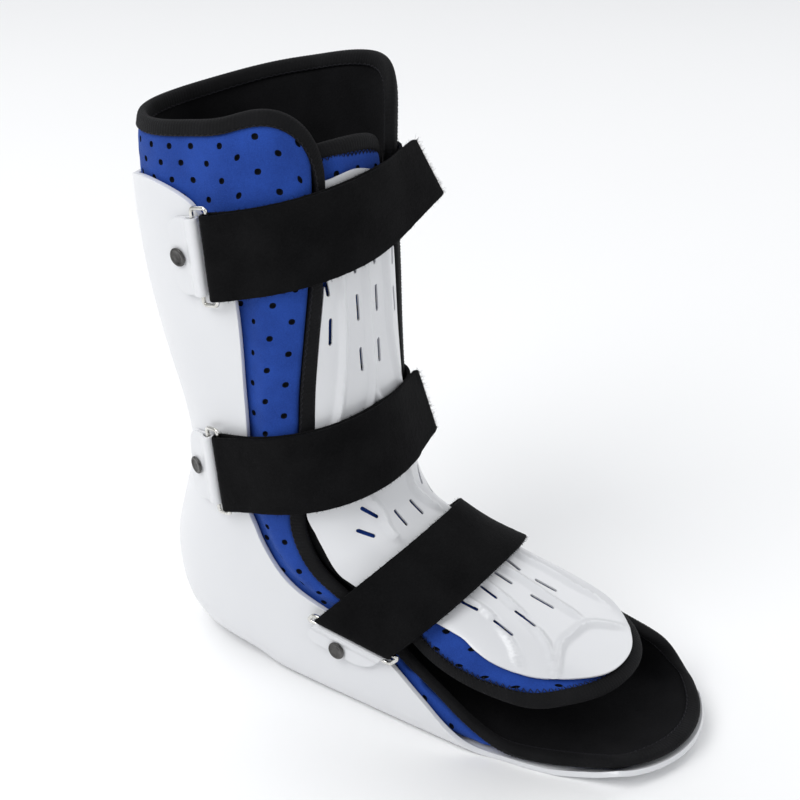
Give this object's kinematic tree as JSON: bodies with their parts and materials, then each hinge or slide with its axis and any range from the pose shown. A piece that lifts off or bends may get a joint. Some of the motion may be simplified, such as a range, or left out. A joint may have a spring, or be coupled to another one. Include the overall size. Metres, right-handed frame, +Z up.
{
  "type": "ankle walking boot brace",
  "caption": "Ankle-foot walking boot brace: white moulded shell, padded perforated liner and tongue, ribbed front shield, plush straps through wire rings.",
  "frame": {"origin": "on the flat underside of the sole, below the middle of the foot", "axes": "+Z up, toes towards -Y, heel towards +Y, the inner side of the left foot (rings and buckled strap ends) towards -X"},
  "size_m": [0.145, 0.3291, 0.3426],
  "materials": {
    "white_plastic": "satin gloss",
    "blue_pad": "soft perforated laminate",
    "black_binding": "ribbed tape",
    "black_plush": "plush loop pile",
    "nickel": "bright",
    "gunmetal": "dark polished"
  },
  "bodies": {
    "root": {"shell": "white_plastic", "front_shield": "white_plastic", "ring_tab_upper": "white_plastic", "ring_tab_middle": "white_plastic", "ring_tab_lower": "white_plastic", "liner": "blue_pad", "tongue_pad": "blue_pad", "liner_binding": "black_binding", "tongue_binding": "black_binding", "strap_upper": "black_plush", "strap_middle": "black_plush", "strap_lower": "black_plush", "ring_upper": "nickel", "ring_middle": "nickel", "ring_lower": "nickel", "rivet_near_upper": "gunmetal", "rivet_near_middle": "gunmetal", "rivet_near_lower": "gunmetal", "rivet_far_upper": "gunmetal", "rivet_far_middle": "gunmetal", "rivet_far_lower": "gunmetal"}
  },
  "joints": []
}
